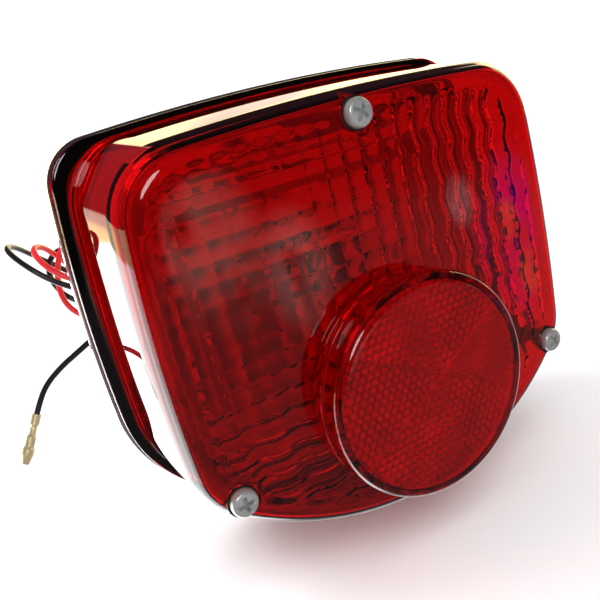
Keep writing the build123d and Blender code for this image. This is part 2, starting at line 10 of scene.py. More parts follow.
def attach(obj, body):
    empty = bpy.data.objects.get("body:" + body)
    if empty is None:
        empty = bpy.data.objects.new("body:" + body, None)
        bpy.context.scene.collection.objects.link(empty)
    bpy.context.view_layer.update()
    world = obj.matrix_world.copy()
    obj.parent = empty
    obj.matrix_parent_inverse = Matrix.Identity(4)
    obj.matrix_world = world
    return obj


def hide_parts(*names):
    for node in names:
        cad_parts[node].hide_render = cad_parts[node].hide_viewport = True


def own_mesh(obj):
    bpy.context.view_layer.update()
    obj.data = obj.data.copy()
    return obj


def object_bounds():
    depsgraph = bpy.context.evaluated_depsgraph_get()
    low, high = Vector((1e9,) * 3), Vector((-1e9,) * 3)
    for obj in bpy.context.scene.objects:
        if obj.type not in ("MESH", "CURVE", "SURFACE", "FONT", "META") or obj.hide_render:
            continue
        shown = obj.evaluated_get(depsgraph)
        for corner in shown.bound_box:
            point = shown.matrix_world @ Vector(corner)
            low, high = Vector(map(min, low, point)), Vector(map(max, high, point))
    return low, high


bl_info = {
    "name": "Tail Light Finisher",
    "version": (1, 0, 0),
    "blender": (4, 5, 0),
    "location": "3D View > Sidebar > Tail Light",
    "description": "Builds the lens optics, reflector, screws, leads and studio for a motorcycle tail light",
    "category": "Object",
}

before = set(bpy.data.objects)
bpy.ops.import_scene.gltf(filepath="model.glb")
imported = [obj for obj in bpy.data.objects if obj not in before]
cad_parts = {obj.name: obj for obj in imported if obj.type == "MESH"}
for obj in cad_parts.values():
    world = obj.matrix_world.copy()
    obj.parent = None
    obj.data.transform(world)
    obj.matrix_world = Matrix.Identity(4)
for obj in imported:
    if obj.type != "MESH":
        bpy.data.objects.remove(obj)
CAD_BOX = [list(corner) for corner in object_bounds()]
MM = 0.001
WELD = 2e-6  # corners nearer than this become one
POLE = 1e-6  # radius at which a turned profile closes on its axis


# ------------------------------------------------------------------ settings
class LensSizes(bpy.types.PropertyGroup):
    """Sizes of the lens, in metres, measured from the pan's rear face and the studs' centre line."""

    half_width: FloatProperty(
        name="Half width", description="Half the lens front's width",
        default=0.0698, unit="LENGTH",
    )
    widest_z: FloatProperty(
        name="Widest height", description="Height where the lens is widest",
        default=-0.006, unit="LENGTH",
    )
    side_arc: FloatProperty(
        name="Side arc", description="Radius of the side edges",
        default=0.439, unit="LENGTH",
    )
    top_z: FloatProperty(
        name="Top", description="Height of the top edge",
        default=0.062, unit="LENGTH",
    )
    top_arc: FloatProperty(
        name="Top arc", description="Radius of the top edge",
        default=0.724, unit="LENGTH",
    )
    bottom_z: FloatProperty(
        name="Bottom", description="Height of the bottom edge",
        default=-0.0622, unit="LENGTH",
    )
    bottom_arc: FloatProperty(
        name="Bottom arc", description="Radius of the bottom edge",
        default=0.0975, unit="LENGTH",
    )
    crown_arc: FloatProperty(
        name="Crown arc", description="Radius on which the front bulges",
        default=0.6, unit="LENGTH",
    )
    crown_height: FloatProperty(
        name="Crown height", description="Front's height above the mounting face",
        default=0.0633, unit="LENGTH",
    )
    draft: FloatProperty(
        name="Draft", description="Lean of the side walls",
        default=0.09076, subtype="ANGLE",
    )
    wall: FloatProperty(name="Wall", description="Acrylic thickness", default=0.0026, unit="LENGTH")
    edge_radius: FloatProperty(
        name="Edge radius", description="Rounding of the front edge",
        default=0.0052, unit="LENGTH",
    )
    pitch_x: FloatProperty(
        name="Pillow width", description="Width of one pillow of the inner optics",
        default=0.00595, unit="LENGTH",
    )
    pitch_z: FloatProperty(
        name="Pillow height", description="Height of one pillow",
        default=0.0056, unit="LENGTH",
    )
    cell_rise: FloatProperty(
        name="Pillow rise", description="How far a pillow's middle stands proud of its corners",
        default=0.0014, unit="LENGTH",
    )


class Finishes(bpy.types.PropertyGroup):
    """Colours that a user would change."""

    acrylic: StringProperty(
        name="Lens acrylic", description="sRGB hex of the red acrylic",
        default="#CE060A",
    )
    reflex: StringProperty(
        name="Reflector acrylic", description="sRGB hex of the reflector",
        default="#E8101A",
    )
    red_wire: StringProperty(
        name="Red lead", description="sRGB hex of the red PVC",
        default="#E01822",
    )
    black_wire: StringProperty(
        name="Black lead", description="sRGB hex of the black PVC",
        default="#15171B",
    )
    floor: StringProperty(
        name="Floor", description="sRGB hex of the studio floor",
        default="#F7F7F8",
    )


# ------------------------------------------------------------------ small helpers
def linear(hex_colour, alpha=1.0):
    """sRGB hex to linear light: the standard curve, channel by channel."""
    channels = np.array([int(hex_colour[i : i + 2], 16) for i in (1, 3, 5)]) / 255.0
    light = np.where(channels <= 0.04045, channels / 12.92, ((channels + 0.055) / 1.055) ** 2.4)
    return (*light.tolist(), alpha)


def node(tree, kind, links=(), outputs=(), **settings):
    """Adds one node with its settings and links.

    A setting names an attribute, a socket (with _ for a space) or a socket's number (_6). links are (socket, source)
    pairs into the node, outputs are (output, target) pairs out of it."""
    made = tree.nodes.new(kind)
    for name, value in settings.items():
        socket = made.inputs.get(name.replace("_", " "))
        if hasattr(made, name):
            setattr(made, name, value)
        elif socket is not None:
            socket.default_value = value
        else:
            made.inputs[int(name[1:])].default_value = value
    for name, source in links:
        tree.links.new(source, made.inputs[name])
    for source, target in outputs:
        tree.links.new(made.outputs[source], target)
    return made


def material(name):
    """An empty node material and its output node."""
    made = bpy.data.materials.new(name)
    made.use_nodes = True
    made.node_tree.nodes.clear()
    out = made.node_tree.nodes.new("ShaderNodeOutputMaterial")
    return made, made.node_tree, out


def mesh_piece(name, verts, faces, body, finish, smooth=True):
    """Puts whole arrays of corners (metres) and quads into a mesh that rides on a body.

    Corners that fall together are welded, flat faces dropped, and the faces turned outwards."""
    mesh = bpy.data.meshes.new(name)
    mesh.from_pydata(verts.tolist(), [], faces.tolist())
    mesh.update()
    piece = bpy.data.objects.new(name, mesh)
    bpy.context.scene.collection.objects.link(piece)
    shape = bmesh.new()
    shape.from_mesh(mesh)
    bmesh.ops.remove_doubles(shape, verts=shape.verts, dist=WELD)
    bmesh.ops.dissolve_degenerate(shape, edges=shape.edges, dist=WELD / 2)
    bmesh.ops.recalc_face_normals(shape, faces=shape.faces)
    shape.to_mesh(mesh)
    shape.free()
    mesh.polygons.foreach_set("use_smooth", np.full(len(mesh.polygons), smooth))
    mesh.materials.append(finish)
    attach(piece, body)
    return piece


def grid_faces(rows, columns, close_columns=False):
    """Quads of a rows x columns grid of points, each quad from its four neighbours."""
    across = columns if close_columns else columns - 1
    r, c = np.meshgrid(np.arange(rows - 1), np.arange(across), indexing="ij")
    d = (c + 1) % columns
    quads = np.stack([r * columns + c, r * columns + d, (r + 1) * columns + d, (r + 1) * columns + c], -1)
    return quads.reshape(-1, 4)


def outline(grow, top_corner, bottom_corner, lens, count=40, chin=0.0):
    """The lens outline as points: four arcs (top, sides, bottom) grown outwards by grow, joined by corner arcs.

    Each corner arc's centre lies its radius inside both of its arcs, so it is where two smaller circles cross."""
    tops = (np.array([0.0, lens.top_z - lens.top_arc]), lens.top_arc + grow)
    sides = (np.array([lens.half_width - lens.side_arc, lens.widest_z]), lens.side_arc + grow)
    lows = (np.array([0.0, lens.bottom_z + lens.bottom_arc]), lens.bottom_arc + grow - chin)

    def meet(first, second, radius, up):
        (a, ra), (b, rb) = (first[0], first[1] - radius), (second[0], second[1] - radius)
        gap = np.linalg.norm(b - a)
        along = (ra**2 - rb**2 + gap**2) / (2 * gap)
        rise = np.sqrt(max(ra**2 - along**2, 0.0))
        unit = (b - a) / gap
        flank = np.array([-unit[1], unit[0]])
        options = [a + along * unit + rise * flank, a + along * unit - rise * flank]
        right = [point for point in options if point[0] > 0]
        return max(right, key=lambda point: point[1] * up)

    high = meet(tops, sides, top_corner, 1.0)
    low = meet(lows, sides, bottom_corner, -1.0)

    def angle(centre, point):
        return np.arctan2(point[1] - centre[1], point[0] - centre[0])

    def arc(centre, radius, start, end, number):
        turn = np.linspace(start, end, number, endpoint=False)
        return centre[None] + radius * np.stack([np.cos(turn), np.sin(turn)], -1)

    right = np.vstack(
        [
            arc(tops[0], tops[1], np.pi / 2, angle(tops[0], high), count),
            arc(high, top_corner, angle(tops[0], high), angle(sides[0], high), count // 2),
            arc(sides[0], sides[1], angle(sides[0], high), angle(sides[0], low), count),
            arc(low, bottom_corner, angle(sides[0], low), angle(lows[0], low), count // 2),
            arc(lows[0], lows[1], angle(lows[0], low), -np.pi / 2, count),
            np.array([[0.0, lows[0][1] - lows[1]]]),
        ]
    )
    left = right[1:-1][::-1] * np.array([-1.0, 1.0])
    return np.vstack([right, left])


def turned_piece(name, centre, profile, finish, segments):
    """A closed solid of the lens turned about the fore-and-aft line through centre.

    It is the radius and height along a profile, spun round."""
    radius, height = np.array(profile, float).T
    turn = np.linspace(0, 2 * np.pi, segments, endpoint=False)
    x = centre[0] + radius[:, None] * np.cos(turn)[None]
    z = centre[1] + radius[:, None] * np.sin(turn)[None]
    y = np.repeat(-height[:, None], segments, 1)
    verts = np.stack([x, y, z], -1).reshape(-1, 3)
    return mesh_piece(name, verts, grid_faces(len(radius), segments, True), "lens", finish)


def show(node_name, finish):
    """Gives a CAD node its finish."""
    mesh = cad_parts[node_name].data
    mesh.materials.clear()
    mesh.materials.append(finish)


# ------------------------------------------------------------------ finishes
BUMP_DEPTH = 0.0001  # height of the grain's bumps, in metres


def darker(colour, share):
    """The colour with its light cut by a share."""
    return (*(channel * (1.0 - share) for channel in colour[:3]), 1.0)


def clear_moulding(name, tint, shade, ior=1.49):
    """Moulded acrylic: clear all through, tinted in the mass, so light that goes in and out twice is deeper.

    Shadow rays pass straight through with the tint, so lamps light what is inside."""
    made, tree, out = material(name)
    glass = node(
        tree, "ShaderNodeBsdfPrincipled", Base_Color=tint, Roughness=0.0, IOR=ior, Transmission_Weight=1.0,
    )
    through = node(tree, "ShaderNodeBsdfTransparent", Color=shade)
    path = node(tree, "ShaderNodeLightPath")
    node(
        tree, "ShaderNodeMixShader",
        [(0, path.outputs["Is Shadow Ray"]), (1, glass.outputs[0]), (2, through.outputs[0])],
        [(0, out.inputs["Surface"])],
    )
    return made


def metal(name, colour, roughness, grain=0.0, grain_mm=0.4, tone=0.0, film=0.0):
    """A metal whose sheen varies with noise at the size of the plating's grain.

    tone is how much darker its cloudy patches are, about 4 mm across. film is the share of a thin dull oxide or
    passivation layer over it."""
    made, tree, out = material(name)
    steel = node(
        tree, "ShaderNodeBsdfPrincipled", (), [(0, out.inputs["Surface"])], Base_Color=colour, Metallic=1.0 - film,
    )
    place = node(tree, "ShaderNodeTexCoord").outputs["Object"]
    grains = 1.0 / (grain_mm * MM)
    fleck = node(tree, "ShaderNodeTexNoise", [("Vector", place)], Scale=grains, Detail=3.0).outputs["Fac"]
    node(
        tree, "ShaderNodeMapRange", [("Value", fleck)], [("Result", steel.inputs["Roughness"])],
        To_Min=max(roughness - 0.06, 0.02), To_Max=roughness + 0.1,
    )
    if tone:
        wide = node(tree, "ShaderNodeTexNoise", [("Vector", place)], Scale=260.0, Detail=2.0).outputs["Fac"]
        node(
            tree, "ShaderNodeMix", [("Factor", wide)], [(2, steel.inputs["Base Color"])],
            data_type="RGBA", _6=colour, _7=darker(colour, tone),
        )
    if grain:
        node(
            tree, "ShaderNodeBump", [("Height", fleck)], [("Normal", steel.inputs["Normal"])],
            Strength=grain, Distance=BUMP_DEPTH,
        )
    return made


def plain(name, colour, roughness, coat=0.0, grain=0.0, grain_mm=0.3, tone=0.15):
    """Plastic, rubber or ceramic: two close tones of one colour in soft patches about 5 mm across, and a fine
    moulded grain."""
    made, tree, out = material(name)
    body = node(
        tree, "ShaderNodeBsdfPrincipled", (), [(0, out.inputs["Surface"])], Roughness=roughness, Coat_Weight=coat,
    )
    place = node(tree, "ShaderNodeTexCoord").outputs["Object"]
    patch = node(tree, "ShaderNodeTexNoise", [("Vector", place)], Scale=180.0, Detail=2.0).outputs["Fac"]
    node(
        tree, "ShaderNodeMix", [("Factor", patch)], [(2, body.inputs["Base Color"])],
        data_type="RGBA", _6=colour, _7=darker(colour, tone),
    )
    grains = 1.0 / (grain_mm * MM)
    fine = node(tree, "ShaderNodeTexNoise", [("Vector", place)], Scale=grains, Detail=2.0).outputs["Fac"]
    node(
        tree, "ShaderNodeBump", [("Height", fine)], [("Normal", body.inputs["Normal"])],
        Strength=grain, Distance=BUMP_DEPTH,
    )
    return made


# ------------------------------------------------------------------ lens
def crown(x, lens):
    """Height of the front above the mounting face: a circle of radius crown_arc seen from above."""
    return lens.crown_height - lens.crown_arc + np.sqrt(lens.crown_arc**2 - x**2)


def step(value, low, high):
    """0 below low, 1 above high and a smooth curve between: three times the square less twice the cube."""
    share = np.clip((value - low) / (high - low), 0.0, 1.0)
    return share * share * (3 - 2 * share)


def sweep_rings(rings):
    """Points of rings given as (outline points, heights); heights may be one number or one per point."""
    stack = []
    for points, height in rings:
        y = -np.broadcast_to(height, (len(points),))
        stack.append(np.stack([points[:, 0], y, points[:, 1]], -1))
    return np.concatenate(stack)


FLANGE_BACK, FLANGE_FRONT, FLANGE_OUT = 0.0135, 0.0175, 0.0078
FLANGE_CORNERS = (0.015, 0.044)  # radii of the flange outline's top and bottom corners
FRONT_CORNERS, BACK_CORNERS = (0.0197, 0.0194), (0.0200, 0.0400)  # the same for the wall, at its front and back
TOP_LEAN = 0.0018  # how much further out the top wall stands at its back
MIDDLE = np.array([0.0, -0.004])  # where the front's rings close
FRONT_STEPS, OPTIC_STEPS = 16, 84  # rings from the edge to the middle, outside and inside
SCREW_AROUND, SHANK_RINGS = 96, 420
SEAT_DEPTH, WASHER = 0.001, 0.0008  # how far the screws' seats are sunk, and their washers' thickness
SCREWS = {"top": (0.0, 0.0558), "left": (-0.0597, -0.03435), "right": (0.0597, -0.03435)}
REFLECTOR = (0.0, -0.022)
AROUND = 80  # points along each long arc of the lens's rings: about 0.75 mm apart, eight to a pillow


def wall_ring(height, inset, lens):
    """The drafted wall's outline at a height, moved inwards by inset.

    Its lower corners open out towards the flange. The top wall leans a little more, so its ledge is narrower."""
    front = lens.crown_height - 0.003
    lean = np.tan(lens.draft)
    part = np.clip((front - height) / (front - FLANGE_FRONT), -0.1, 1.1)
    corners = [max(near + (far - near) * part - inset, 0.004) for near, far in zip(FRONT_CORNERS, BACK_CORNERS)]
    ring = outline((front - height) * lean - inset, *corners, lens, AROUND)
    ring[:, 1] += TOP_LEAN * part * step(ring[:, 1], 0.02, 0.05)
    return ring


def lens_shell(lens, finish):
    """The lens's outside and inside as one closed skin of rings.

    Outside: flange edge, ledge, drafted wall, quarter-round front edge, then the crowned front drawn in to a point.
    Inside: the same wall and front moved in by the wall thickness, ending at the flange's rear face."""
    rings = []

    # the flange's edge, with its corners just broken
    for inwards, height in (
        (0.0003, FLANGE_BACK),
        (0.0, FLANGE_BACK + 0.0003),
        (0.0, FLANGE_FRONT - 0.0005),
        (0.00015, FLANGE_FRONT - 0.00015),
        (0.0005, FLANGE_FRONT),
    ):
        rings.append((outline(FLANGE_OUT - inwards, *FLANGE_CORNERS, lens, AROUND, chin=0.0012), height))
    # a small fillet from the ledge into the wall
    back = wall_ring(FLANGE_FRONT, 0.0, lens)
    rings.append((wall_ring(FLANGE_FRONT, -0.0006, lens), FLANGE_FRONT))
    rings.append((back, FLANGE_FRONT + 0.0006))

    def face_and_wall(inset, radius, start, steps, optics):
        """Wall up to the edge, quarter round of the given radius, then the front shrunk step by step to a point."""
        made = []
        edge = float(np.mean(crown(back[:, 0], lens)))
        sample = wall_ring(lens.crown_height, inset, lens)
        top = crown(sample[:, 0], lens) - inset - radius
        for share in np.linspace(0.0, 1.0, 7):
            height = start + (top - start) * share
            made.append((wall_ring(float(np.mean(height)), inset, lens), height))
        for turn in np.linspace(0.0, np.pi / 2, 9)[1:]:
            ring = wall_ring(edge - inset, inset + radius * (1 - np.cos(turn)), lens)
            made.append((ring, crown(ring[:, 0], lens) - inset - radius * (1 - np.sin(turn))))
        last = made[-1][0]
        for share in np.linspace(1.0, 0.0, steps)[1:]:
            ring = MIDDLE + (last - MIDDLE) * share
            # the relief comes up over the first rings in from the wall
            fade = min(max(1.0 - share - 0.02, 0.0) / 0.04, 1.0)
            rise = optics * pillow_relief(ring[:, 0], ring[:, 1], lens) * fade
            made.append((ring, crown(ring[:, 0], lens) - inset - rise))
        return made

    rings += face_and_wall(0.0, lens.edge_radius, FLANGE_FRONT + 0.0012, FRONT_STEPS, 0.0)
    front_count = len(rings)
    rings += face_and_wall(lens.wall, 0.0019, FLANGE_BACK, OPTIC_STEPS, 1.0)[::-1]
    size = len(rings[0][0])
    faces = grid_faces(len(rings), size, True)
    # no faces between the two middles; the last ring is joined to the first across the flange's rear face
    faces = faces[faces[:, 0] // size != front_count - 1]
    near = np.arange(size)[:, None]
    following = (near + 1) % size
    last = (len(rings) - 1) * size
    rim = np.hstack([last + near, last + following, following, near])
    return mesh_piece("lens_moulding", sweep_rings(rings), np.vstack([faces, rim]), "lens", finish)


def pillow_relief(x, z, lens):
    """How far the optics stand proud of the inside of the front at (x, z).

    One pillow falls off with the square of the distance across and up from its middle. Towards the right the fall
    up and down weakens, which leaves upright columns; low on the left the fall across weakens, which leaves bars.
    Smooth steps take the relief out round the screws and the rim."""

    columns = step(x, 0.0, 0.026)
    bars = step(-x, -0.012, 0.018) * step(-z, 0.000, 0.022)
    wave = 0.0006 * np.sin(2 * np.pi * z / 0.0112) * columns
    across = (x + wave + 0.0004) / lens.pitch_x % 1.0 - 0.5
    upward = (z - 0.0022 + 0.0005 * np.sin(2 * np.pi * x / 0.0119) * bars) / lens.pitch_z % 1.0 - 0.5
    fall = (1.0 + 0.35 * columns - 0.6 * bars) * across**2 + (1.0 - 0.55 * columns + 0.3 * bars) * upward**2
    fade = np.ones_like(x)
    for sx, sz in SCREWS.values():
        fade = np.minimum(fade, step(np.hypot(x - sx, z - sz), 0.0052, 0.0068))
    return lens.cell_rise * (1.0 - 2.0 * fall) * fade


def cylinder(name, x, z, radius, low, high, finish):
    """A closed cylinder along the fore-and-aft line at (x, z), between two heights."""
    profile = [(POLE, low), (radius, low), (radius, high), (POLE, high)]
    return turned_piece(name, (x, z), profile, finish, 48)


def merge(target, others, operation):
    """Joins to or cuts from target each closed piece, and removes the tools."""
    for other in others:
        change = target.modifiers.new(operation.lower(), "BOOLEAN")
        change.operation = operation
        change.object = other
        change.solver = "MANIFOLD"
    bpy.context.view_layer.update()
    graph = bpy.context.evaluated_depsgraph_get()
    made = bpy.data.meshes.new_from_object(target.evaluated_get(graph), depsgraph=graph)
    target.modifiers.clear()
    target.data = made
    for other in others:
        bpy.data.objects.remove(other)
    made.polygons.foreach_set("use_smooth", np.ones(len(made.polygons), bool))
    made.set_sharp_from_angle(angle=np.radians(32))


class TAILLIGHT_OT_lens(bpy.types.Operator):
    """Build the lens: shell, pillow optics, screw bosses and sunk seats"""

    bl_idname = "taillight.lens"
    bl_label = "Lens"

    def execute(self, context):
        lens, look = context.scene.tail_lens, context.scene.tail_looks
        # injection-moulded acrylic, dyed red in the mass: glassy, deep red through two walls
        finish = clear_moulding("moulded red acrylic", linear(look.acrylic), (0.78, 0.03, 0.03, 1.0))
        shell = lens_shell(lens, finish)
        bosses, seats = [], []
        for side, (x, z) in SCREWS.items():
            seat = float(crown(x, lens)) - SEAT_DEPTH
            bosses.append(cylinder(f"boss_{side}", x, z, 0.0045, 0.024, seat - 0.0008, finish))
            seats.append(cylinder(f"seat_{side}", x, z, 0.0049, seat, seat + 0.006, finish))
        merge(shell, bosses, "UNION")
        merge(shell, seats, "DIFFERENCE")
        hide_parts("lens")
        # clear cast acrylic pane in the floor of the lens: colourless, with a bright edge
        show("plate_window", clear_moulding("clear acrylic", linear("#F4F4F4"), (0.95, 0.95, 0.95, 1.0)))
        return {"FINISHED"}


# ------------------------------------------------------------------ reflector
def prism_sheet(front, radius, finish):
    """Round sheet of hexagonal corner prisms, 2.5 mm across, on a fine square grid pulled in to a circle.

    Inside a hexagon the surface falls away from the middle by the largest of its distances along three directions
    120 degrees apart, which makes three square facets. The directions turn by 60 degrees from sector to sector, and
    a plain strip is left along the lines where the sectors meet."""
    pitch, count, relief, strip_width, thickness = 0.0025, 181, 0.0021, 0.0007, 0.0018
    hub_x, hub_z = 0.004, 0.002  # where the sectors meet
    span = np.linspace(-radius, radius, count)
    gx, gz = np.meshgrid(span, span)
    pull = np.minimum(1.0, radius / np.maximum(np.hypot(gx, gz), 1e-9))
    gx, gz = gx * pull, gz * pull
    sixths = (np.arctan2(gz - hub_z, gx - hub_x) + np.radians(30.0)) / np.radians(60.0)
    # the nearer of the two square lattices whose points together are the hexagons' middles
    tall = pitch * np.sqrt(3.0)
    first = np.stack([(gx / pitch + 0.5) % 1.0 - 0.5, ((gz / tall + 0.5) % 1.0 - 0.5) * np.sqrt(3.0)])
    second = np.stack([(gx / pitch) % 1.0 - 0.5, ((gz / tall) % 1.0 - 0.5) * np.sqrt(3.0)])
    u, v = np.where((first**2).sum(0) <= (second**2).sum(0), first, second)
    fall = np.full(gx.shape, -1.0)
    for third in range(3):
        turn = np.radians(90.0 + 60.0 * np.floor(sixths) + 120.0 * third)
        fall = np.maximum(fall, u * np.cos(turn) + v * np.sin(turn))
    from_line = np.abs(sixths - np.round(sixths)) * np.radians(60.0) * np.hypot(gx - hub_x, gz - hub_z)
    rim_fade = np.clip((radius - np.hypot(gx, gz)) / 0.001, 0.0, 1.0)
    depth = relief * fall * np.clip(from_line / strip_width, 0.0, 1.0) * rim_fade
    layers = [
        np.stack([gx + REFLECTOR[0], np.broadcast_to(y, gx.shape), gz + REFLECTOR[1]], -1).reshape(-1, 3)
        for y in (-(front - 0.0004 - depth), -(front - thickness))
    ]
    index = np.arange(count * count).reshape(count, count)
    edge = np.concatenate([index[0, :-1], index[:-1, -1], index[-1, :0:-1], index[:0:-1, 0]])
    follow = np.roll(edge, -1)
    side = np.stack([edge, follow, follow + count * count, edge + count * count], -1)
    flat = grid_faces(count, count)
    faces = np.vstack([flat[:, ::-1], flat + count * count, side])
    return mesh_piece("reflector_prisms", np.vstack(layers), faces, "lens", finish, smooth=False)


class TAILLIGHT_OT_reflector(bpy.types.Operator):
    """Build the reflex reflector: clear disc in front, moulded corner prisms behind"""

    bl_idname = "taillight.reflector"
    bl_label = "Reflector"

    def execute(self, context):
        look = context.scene.tail_looks
        # polished moulded acrylic: a glossy rim, and clear enough to see the prisms behind it
        clear = clear_moulding("polished red reflector acrylic", linear(look.reflex), (0.8, 0.04, 0.04, 1.0))
        # radii of the disc and of its flat face, then heights of its rear, its shoulder and its face
        radius, flat, seat, rim, face = 0.0335, 0.0298, 0.0665, 0.0722, 0.0753
        inner = radius - 0.003
        turn = np.linspace(0, np.pi / 2, 10)
        shoulder = [(flat + (radius - flat) * np.sin(a), rim + (face - rim) * np.cos(a)) for a in turn]
        profile = [(POLE, face), *shoulder, (radius, seat + 0.0004), (radius - 0.0004, seat - 0.0002)]
        profile += [(inner, seat - 0.0002), (inner, face - 0.0030), (POLE, face - 0.0030)]
        disc = turned_piece("reflector_front", REFLECTOR, profile, clear, 160)
        disc.data.set_sharp_from_angle(angle=np.radians(40))
        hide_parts("reflector_disc")
        # seat ring between the crowned front and the disc
        profile = [(inner, 0.0598), (radius, 0.0598), (radius, seat - 0.0003), (radius - 0.0002, seat), (inner, seat)]
        turned_piece("reflector_seat", REFLECTOR, [*profile, profile[0]], clear, 160)
        # moulded corner prisms send light back like tilted mirrors, so they are given a mirror's sheen: every prism
        # shows three tones, and a slow mottle about 14 mm across keeps the field uneven
        made, tree, out = material("moulded red corner prisms")
        place = node(tree, "ShaderNodeTexCoord").outputs["Object"]
        mottle = node(tree, "ShaderNodeTexNoise", [("Vector", place)], Scale=70.0, Detail=2.0).outputs["Fac"]
        tone = node(
            tree, "ShaderNodeMix", [("Factor", mottle)],
            data_type="RGBA", _6=linear("#C8604E"), _7=linear("#6A2420"),
        )
        node(
            tree, "ShaderNodeBsdfPrincipled", [("Base Color", tone.outputs[2])], [(0, out.inputs["Surface"])],
            Metallic=1.0, Roughness=0.2,
        )
        sheet = prism_sheet(face - 0.0031, radius - 0.0031, made)
        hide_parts("reflector_backing")
        return {"FINISHED"}


# ------------------------------------------------------------------ pan and gasket
class TAILLIGHT_OT_pan(bpy.types.Operator):
    """Finish the chromed pan with its rolled rim, and the rubber gasket"""

    bl_idname = "taillight.pan"
    bl_label = "Base pan and gasket"

    def execute(self, context):
        # bright nickel-chrome on pressed steel: near-mirror
        chrome = metal("chrome-plated steel", linear("#D6D8DC"), 0.07, grain=0.02, grain_mm=0.8)
        show("base_pan", chrome)
        # closed-cell sponge rubber: flat black, with fine pores
        sponge = plain("black sponge rubber", linear("#0B0A0B"), 0.75, grain=0.35, grain_mm=0.25)
        show("lens_gasket", sponge)
        return {"FINISHED"}


# ------------------------------------------------------------------ screws
def screw_surface(place, seat, twist):
    """Corners of one screw as rings about its axis, from its tip to the middle of its head.

    The shank's radius falls and rises once each 0.7 mm pitch, shifted round by the turn, up to where the thread ends.
    The head is a low dome with a cross-shaped dip whose arms narrow and deepen towards the middle."""
    pitch, thread_depth, thread_end, shank_radius = 0.0007, 0.00022, 0.032, 0.00195
    under = seat + WASHER
    top = under + 0.0028
    turn = np.linspace(0, 2 * np.pi, SCREW_AROUND, endpoint=False)
    run = np.linspace(0.0101, under, SHANK_RINGS)
    fade = np.clip((thread_end - run) / 0.001, 0, 1)[:, None]
    thread = thread_depth * (0.5 + 0.5 * np.sin(2 * np.pi * (run[:, None] / pitch - turn[None] / (2 * np.pi))))
    shank = 0.00193 - thread * fade
    shank[0], shank[-1] = POLE, shank_radius
    arc = np.linspace(0, np.pi / 2, 10)
    radius = np.concatenate(
        [[shank_radius, 0.00395, 0.0040, 0.0040], 0.0023 + 0.0017 * np.cos(arc), np.linspace(0.0022, POLE, 16)]
    )
    lift = np.concatenate(
        [[under, under, under + 0.0001, under + 0.0009], top - 0.0017 + 0.0017 * np.sin(arc), np.full(16, top)]
    )
    lift[4:] = np.minimum(lift[4:], top - 0.00045 * (radius[4:] / 0.0035) ** 2)
    # the recess, on the rings of the dome only
    bearing = turn + twist
    arm = radius[:, None] * np.minimum(np.abs(np.cos(bearing)), np.abs(np.sin(bearing)))[None]
    recess = np.clip((0.00062 - arm) / 0.00022, 0, 1) * np.clip((0.0024 - radius[:, None]) / 0.0004, 0, 1)
    recess[:4] = 0.0
    reach = np.vstack([shank, np.repeat(radius[:, None], SCREW_AROUND, 1)])
    height = np.vstack([np.repeat(run[:, None], SCREW_AROUND, 1), lift[:, None] - 0.0013 * recess])
    return np.stack([place[0] + reach * np.cos(turn), -height, place[1] + reach * np.sin(turn)], -1)


class TAILLIGHT_OT_screws(bpy.types.Operator):
    """Build the three cross-recess pan-head screws with threads, and their sealing washers"""

    bl_idname = "taillight.screws"
    bl_label = "Lens screws"

    def execute(self, context):
        lens = context.scene.tail_lens
        # zinc-plated and clear-passivated steel: bright with a blue cast and small dull patches
        zinc = metal("zinc-plated steel", linear("#D4DCD8"), 0.3, grain=0.25, grain_mm=0.25, tone=0.45, film=0.3)
        # washers: soft dark rubber, with a red cast painted into its colour for the red light from the lens around it
        rubber = plain("dark sealing rubber", linear("#1C0C0D"), 0.5, grain=0.1)
        for number, (side, (x, z)) in enumerate(SCREWS.items()):
            # each head stopped at its own angle
            rings = screw_surface((x, z), float(crown(x, lens)) - SEAT_DEPTH, 0.6 + 0.9 * number)
            name = f"screw_{side}"
            faces = grid_faces(len(rings), SCREW_AROUND, True)
            screw = mesh_piece(name, rings.reshape(-1, 3), faces, name, zinc)
            screw.data.set_sharp_from_angle(angle=np.radians(45))
            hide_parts(f"lens_screw_{side}")
        show("screw_washers", rubber)
        show("lens_posts", zinc)
        show("mounting_studs", zinc)
        return {"FINISHED"}


# ------------------------------------------------------------------ bulb and holder
def contact_spring(finish):
    """The spring behind the contact carrier: a round wire carried along a helix of 4.5 turns about the bulb's axis.

    It runs from the carrier back towards the holder's rear lip."""
    turns, radius, wire, start, end, axis_z = 4.5, 0.00625, 0.00044, 0.0065, -0.0015, 0.012
    rows, around = 217, 12
    along = np.linspace(0.0, 1.0, rows)[:, None]
    round_wire = np.linspace(0, 2 * np.pi, around, endpoint=False)[None]
    turn = 2 * np.pi * turns * along
    reach = radius + wire * np.cos(round_wire)
    y = start + (end - start) * along + wire * np.sin(round_wire)
    verts = np.stack([reach * np.cos(turn), y, axis_z + reach * np.sin(turn)], -1).reshape(-1, 3)
    ends = np.stack([verts[:around].mean(0), verts[-around:].mean(0)])
    # each end is closed by triangles to its middle
    faces = grid_faces(rows, around, True).tolist()
    last = len(verts) - around
    for corner in range(around):
        following = (corner + 1) % around
        faces.append([len(verts), corner, following])
        faces.append([len(verts) + 1, last + following, last + corner])
    mesh = bpy.data.meshes.new("spring_coil")
    mesh.from_pydata(np.vstack([verts, ends]).tolist(), [], faces)
    mesh.polygons.foreach_set("use_smooth", np.ones(len(mesh.polygons), bool))
    mesh.materials.append(finish)
    coil = bpy.data.objects.new("spring_coil", mesh)
    bpy.context.scene.collection.objects.link(coil)
    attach(coil, "base")
    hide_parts("contact_spring")
    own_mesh(coil)


